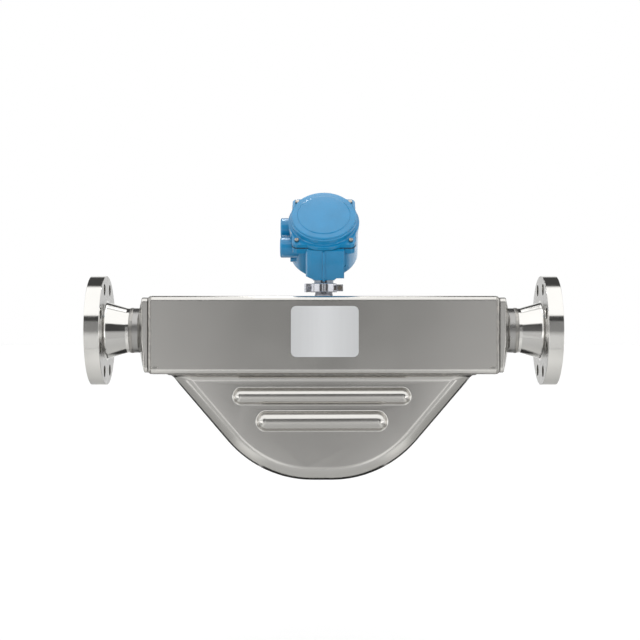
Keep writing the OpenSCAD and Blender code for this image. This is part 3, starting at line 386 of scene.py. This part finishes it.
# Section of a case weld: distance outward from the end of the case's sheet, depth below its outline, and how
# far the ripples of the bead move the point, all in mm
BEAD_SECTION = [
    (-6.6, 0.45, 0.0), (-5.6, 0.35, 0.3), (-4.6, 0.55, 0.7), (-3.6, 1.1, 1.0), (-2.6, 1.75, 1.0),
    (-1.6, 2.5, 1.0), (-0.7, 3.3, 0.7), (0.1, 4.4, 0.3), (0.95, 5.1, 0.0), (0.95, 5.8, 0.0), (0.0, 5.8, 0.0),
    (-6.0, 1.4, 0.0)
]
# All in mm: the bead's middle, how far the CAD weld reaches past the end of the sheet, and its ripples
BEAD_MIDDLE = -2.6
BEAD_REACH = 1.0
RIPPLE_PITCH = 3.1
RIPPLE_HEIGHT = 0.30
# How far the bead's line wanders and its surface swells, in mm
WANDER = 0.8
SWELL = 0.35
# Where in its pitch a ripple is highest, and how much later it comes for each mm from the bead's middle
RIPPLE_PEAK = 0.35
RIPPLE_LAG = 0.12


def case_weld(side):
    """Hand-laid bead in the groove between case and end cap: overlapping ripples on a line that wanders."""
    node = ("inlet" if side < 0 else "outlet") + "_case_weld"
    low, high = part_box(node)
    sheet_end = (low.x if side < 0 else high.x) - side * BEAD_REACH * MM
    rings = []
    for y, z, out_y, out_z, walked in case_outline(0.9 * MM):
        s = walked / MM
        wander = WANDER * noise.noise((s / 11, side * 3.7, 0.5))
        swell = SWELL * noise.noise((s / 7, 2.5, side * 1.9))
        ring = []
        for x, depth, ripple in BEAD_SECTION:
            phase = s / RIPPLE_PITCH + RIPPLE_LAG * abs(x - BEAD_MIDDLE)
            crest = 1 - abs(phase % 1 - RIPPLE_PEAK) / (1 - RIPPLE_PEAK)
            inset = (depth - ripple * (RIPPLE_HEIGHT * crest + swell)) * MM
            ring.append((sheet_end + side * (x + wander * ripple) * MM, y - inset * out_y, z - inset * out_z))
        rings.append(ring)
    piece = skinned(node.replace("_case", "_rippled_case"), rings, MATERIALS["weld_bead"])
    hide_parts(node)
    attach(piece, "meter")


# Degrees from straight up to the lid's axis, toward the label side
HOUSING_TILT = 50
# Outline of the lid and housing, in mm: a round body, and ears round four screws that stand this far from the
# axis both ways
BODY_RADIUS = 66.5
SCREW_PLACE = 51.2
EAR_RADIUS = 9.3
# Section of the lip: distance outward from the castings' outline and height along the axis, in mm
LIP_SECTION = [(-0.3, 0.45), (0.35, 0.45), (0.75, 0.1), (0.8, -0.7), (0.7, -1.5), (0.4, -1.9), (-0.3, -1.9)]
LIP_STEPS = 480


def lid_edge(c, s):
    """Distance in mm from the lid's axis to its outline, in the direction with this cosine and sine."""
    outer = SCREW_PLACE + EAR_RADIUS
    run, rise = max(abs(c), 1e-6), max(abs(s), 1e-6)
    reach = [BODY_RADIUS, min(outer / run, SCREW_PLACE / rise), min(SCREW_PLACE / run, outer / rise)]
    for screw_x in (-SCREW_PLACE, SCREW_PLACE):
        for screw_y in (-SCREW_PLACE, SCREW_PLACE):
            toward = c * screw_x + s * screw_y
            rest = EAR_RADIUS ** 2 - (2 * SCREW_PLACE ** 2 - toward ** 2)
            if toward > 0 and rest > 0:
                reach.append(toward + math.sqrt(rest))
    return max(reach)


def gasket_lip_with_painted_gap_shade():
    """Soft outer edge of the lid's gasket: squeezed out between the castings, it hangs over the lower one, as
    a black band that is partly the gasket and partly painted shade of the gap between lid and housing.
    """
    low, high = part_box("lid_gasket")
    centre = (low + high) / 2
    tilt = math.radians(HOUSING_TILT)
    out = Vector((0, -math.sin(tilt), math.cos(tilt)))
    up = Vector((0, math.cos(tilt), math.sin(tilt)))
    rings = []
    for i in range(LIP_STEPS):
        a = 2 * math.pi * i / LIP_STEPS
        c, s = math.cos(a), math.sin(a)
        edge = lid_edge(c, s)
        ring = []
        for aside, rise in LIP_SECTION:
            r = (edge + aside) * MM
            ring.append(centre + Vector((r * c, 0, 0)) + up * (r * s) + out * (rise * MM))
        rings.append(ring)
    piece = skinned("gasket_lip_with_painted_gap_shade", rings, MATERIALS["black_rubber"])
    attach(piece, "housing")


# ---------------------------------------------------------------- the room

# Brightness that a level of 1 in the room's ramps stands for
ROOM = 1.6
DARK = 0.04
WHITE_WALL = 0.62
OVERHEAD = 0.9
# Degrees from straight ahead of the label side, over the top, and the level of the room there
AROUND = [
    (-180, 0.60), (-90, 0.55), (-45, 0.55), (-38, 0.32), (29, 0.32), (32, OVERHEAD), (102, OVERHEAD),
    (108, 0.045), (150, 0.045), (160, WHITE_WALL), (180, WHITE_WALL)
]
# Degrees to either side of straight ahead: a dark gap, then white walls
GAP = [(0, DARK), (35, DARK), (39, WHITE_WALL), (180, WHITE_WALL)]
# The same with a wall in the gap, dark straight ahead and grey toward its sides
ACROSS = [(0, 0.06), (3, 0.11), (8, 0.38), (12, 0.52), (16, DARK)] + GAP[1:]
# Least level of the wall and its gaps in directions that point down
LOW_WALL = 0.18


def span(tree, angle, start, stop, first=0, last=1):
    """Runs from first to last while an angle runs from start to stop degrees."""
    return ranged(tree, angle, first, last, math.radians(start), math.radians(stop))


def level_ramp(tree, angle, stops, lowest, highest):
    """Level by angle: stops are (degrees, level), and the ramp runs from lowest to highest degrees."""
    ramp = add(tree, "ShaderNodeValToRGB", Fac=span(tree, angle, lowest, highest))
    elements = ramp.color_ramp.elements
    while len(elements) < len(stops):
        elements.new(0.5)
    for element, (degrees, level) in zip(elements, stops):
        element.position = (degrees - lowest) / (highest - lowest)
        element.color = (level, level, level, 1)
    return ramp.outputs["Color"]


def blend(tree, factor, a, b):
    return mixed(tree, factor, a, b, "FLOAT")


def studio_world():
    """Studio round the meter: a wall in front, light overhead, dark above the white backdrop behind."""
    world = bpy.data.worlds.new("studio")
    bpy.context.scene.world = world
    world.use_nodes = True
    tree = world.node_tree
    tree.nodes.clear()
    place = axes(tree, add(tree, "ShaderNodeTexCoord").outputs["Generated"])
    forward = times(tree, place["Y"], -1.0)
    sideways = math_node(tree, "ABSOLUTE", place["X"])
    turn = math_node(tree, "ARCTAN2", place["Z"], forward)
    spread = math_node(tree, "ARCTAN2", sideways, forward)
    around = level_ramp(tree, turn, AROUND, -180, 180)
    across = level_ramp(tree, spread, ACROSS, 0, 180)
    gap = level_ramp(tree, spread, GAP, 0, 180)
    # In front: the wall is lighter lower down, its gaps close there, and a dark band runs along its top
    wall = blend(tree, span(tree, turn, -5, -3), math_node(tree, "MAXIMUM", across, LOW_WALL), across)
    wall = times(tree, wall, span(tree, turn, -13, 0, 2.1, 1.0))
    wall = blend(tree, span(tree, turn, 18.5, 20), wall, gap)
    in_front = times(tree, span(tree, turn, -41, -37), span(tree, turn, 29.5, 31.5, 1, 0))
    # The dark above the backdrop stops short of the two ends of the room
    ends = times(tree, ranged(tree, sideways, 0, 1, 0.6, 0.8), span(tree, turn, 95, 110))
    level = blend(tree, in_front, blend(tree, ends, around, WHITE_WALL), wall)
    room = add(tree, "ShaderNodeBackground", Color=level, Strength=ROOM)
    seen = add(tree, "ShaderNodeBackground", Color=(1, 1, 1), Strength=1.0)
    # Metal and glass see the white backdrop too where it hangs, behind the meter
    path = add(tree, "ShaderNodeLightPath").outputs
    mirrored = math_node(tree, "MAXIMUM", path["Is Glossy Ray"], path["Is Transmission Ray"])
    backdrop = times(tree, mirrored, ranged(tree, place["Y"], 0, 1, 0.88, 0.94))
    choose = add(tree, "ShaderNodeMixShader", Fac=math_node(tree, "MAXIMUM", path["Is Camera Ray"], backdrop))
    feed(tree, choose.inputs[1], room.outputs[0])
    feed(tree, choose.inputs[2], seen.outputs[0])
    add(tree, "ShaderNodeOutputWorld", Surface=choose.outputs[0])


# ---------------------------------------------------------------- floor and cards

FLOOR_HEIGHT = -0.66
FLOOR_FRONT = -0.85
FLOOR_SIZE = 60.0
CARD_HEIGHT = FLOOR_HEIGHT + 5 * MM


def flat_sheet(name, corners, material):
    """Four-cornered sheet that belongs to the stage."""
    mesh = bpy.data.meshes.new(name)
    mesh.from_pydata(corners, [], [(0, 1, 2, 3)])
    mesh.materials.append(material)
    sheet = bpy.data.objects.new(name, mesh)
    bpy.context.collection.objects.link(sheet)
    return sheet


def rectangle(middle, half, front, behind, height):
    """Corners of a level rectangle that reaches half its width to both sides of the middle."""
    left, right = middle - half, middle + half
    return [(left, front, height), (right, front, height), (right, behind, height), (left, behind, height)]


def pale_floor():
    """Broad white floor that starts a little in front of the meter, with a faint glow that keeps it white."""
    material, _, _ = new_material("white_floor", Base_Color=(0.82, 0.82, 0.82), Roughness=0.9,
                                  Emission_Color=(1, 1, 1), Emission_Strength=0.24)
    flat_sheet("floor", rectangle(0, FLOOR_SIZE, FLOOR_FRONT, FLOOR_SIZE, FLOOR_HEIGHT), material)


def card(name, corners, colour):
    """Sheet that only the metal sees, in the colour that a function makes in its material's tree."""
    material, tree, shader = new_material(name, Roughness=0.9)
    feed(tree, shader.inputs["Base Color"], colour(tree))
    sheet = flat_sheet(name, corners, material)
    sheet.visible_camera = False
    sheet.visible_diffuse = False
    sheet.visible_shadow = False


def floor_shade(tree):
    """Grey under the pan, white that turns grey toward the back under the necks, darker past the flanges."""
    depth = axes(tree)["Y"]
    aside = from_middle(tree)
    under_pan = mixed(tree, ranged(tree, depth, 0, 1, -0.25, 0.1), (0.56, 0.56, 0.56), (0.70, 0.70, 0.69))
    under_neck = mixed(tree, ranged(tree, depth, 0, 1, -0.4, 0.5), (0.92, 0.92, 0.91), (0.60, 0.60, 0.59))
    inside = mixed(tree, ranged(tree, aside, 0, 1, 0.30, 0.42), under_pan, under_neck)
    return mixed(tree, ranged(tree, aside, 0, 1, 0.56, 0.68), inside, (0.46, 0.46, 0.455))


def black_shade(tree):
    return mixed(tree, noise_value(tree, 5.0, 2.0), (0.015, 0.015, 0.015), (0.03, 0.03, 0.03))


def cards():
    """Grey over the floor, and a black trough under the pan, which the pan's rounded edge mirrors as a dark
    outline."""
    card("grey_card", rectangle(mid_x, 1.3, FLOOR_FRONT, 1.6, CARD_HEIGHT), floor_shade)
    front, behind = 0.05, 0.4
    low_x, low_z, high_x, high_z = 0.20, -0.40, 0.39, -0.18
    card("black_card", rectangle(mid_x, 0.17, -0.01, 0.35, -0.36), black_shade)
    for side in (-1, 1):
        low_corner, high_corner = mid_x + side * low_x, mid_x + side * high_x
        card("slope_card", [(low_corner, front, low_z), (high_corner, front, high_z),
                            (high_corner, behind, high_z), (low_corner, behind, low_z)], black_shade)


# ---------------------------------------------------------------- lamps and camera

def soft_lamp(name, place, target, size, watts, mirrored):
    """Area lamp aimed at a point. A mirrored one shows only in reflections, and any other lights surfaces
    and isn't reflected."""
    data = bpy.data.lights.new(name, "AREA")
    data.shape = "RECTANGLE"
    data.size, data.size_y = size
    data.energy = watts
    lamp = bpy.data.objects.new(name, data)
    lamp.location = place
    lamp.rotation_euler = (Vector(target) - Vector(place)).to_track_quat("-Z", "Y").to_euler()
    lamp.visible_camera = False
    lamp.visible_glossy = mirrored
    lamp.visible_diffuse = not mirrored
    bpy.context.collection.objects.link(lamp)


def lamps():
    hub_x = mid_x - 0.115
    soft_lamp("front_fill", (mid_x, -2.3, 0.7), (mid_x, 0, 0.05), (1.4, 1.0), 18, mirrored=False)
    soft_lamp("back_strip", (mid_x, 0.55, 1.0), (mid_x, 0, 0.2), (0.6, 0.5), 1.6, mirrored=True)
    soft_lamp("hub_strip", (hub_x, 0.13, 0.62), (hub_x, 0.1, 0.2), (0.05, 0.16), 0.42, mirrored=True)
    soft_lamp("lid_sheen", (mid_x, 0.065, 0.62), (mid_x, 0.065, 0.22), (0.16, 0.19), 0.19, mirrored=True)


def camera():
    """Level camera at the height of the pipe axis, square to the label side, with the photo's framing."""
    data = bpy.data.cameras.new("camera")
    data.lens = 78.1
    data.sensor_width = 36.0
    data.shift_x = -0.0059
    data.shift_y = 0.0163
    data.clip_start = 0.05
    data.clip_end = 200.0
    view = bpy.data.objects.new("camera", data)
    view.location = (mid_x, -2.68, 0)
    view.rotation_euler = (math.radians(90), 0, 0)
    bpy.context.collection.objects.link(view)
    bpy.context.scene.camera = view


camera()
studio_world()
pale_floor()
cards()
lamps()
dress_cad_nodes()
case_weld(-1)
case_weld(1)
gasket_lip_with_painted_gap_shade()
bpy.context.scene.view_settings.view_transform = "Standard"
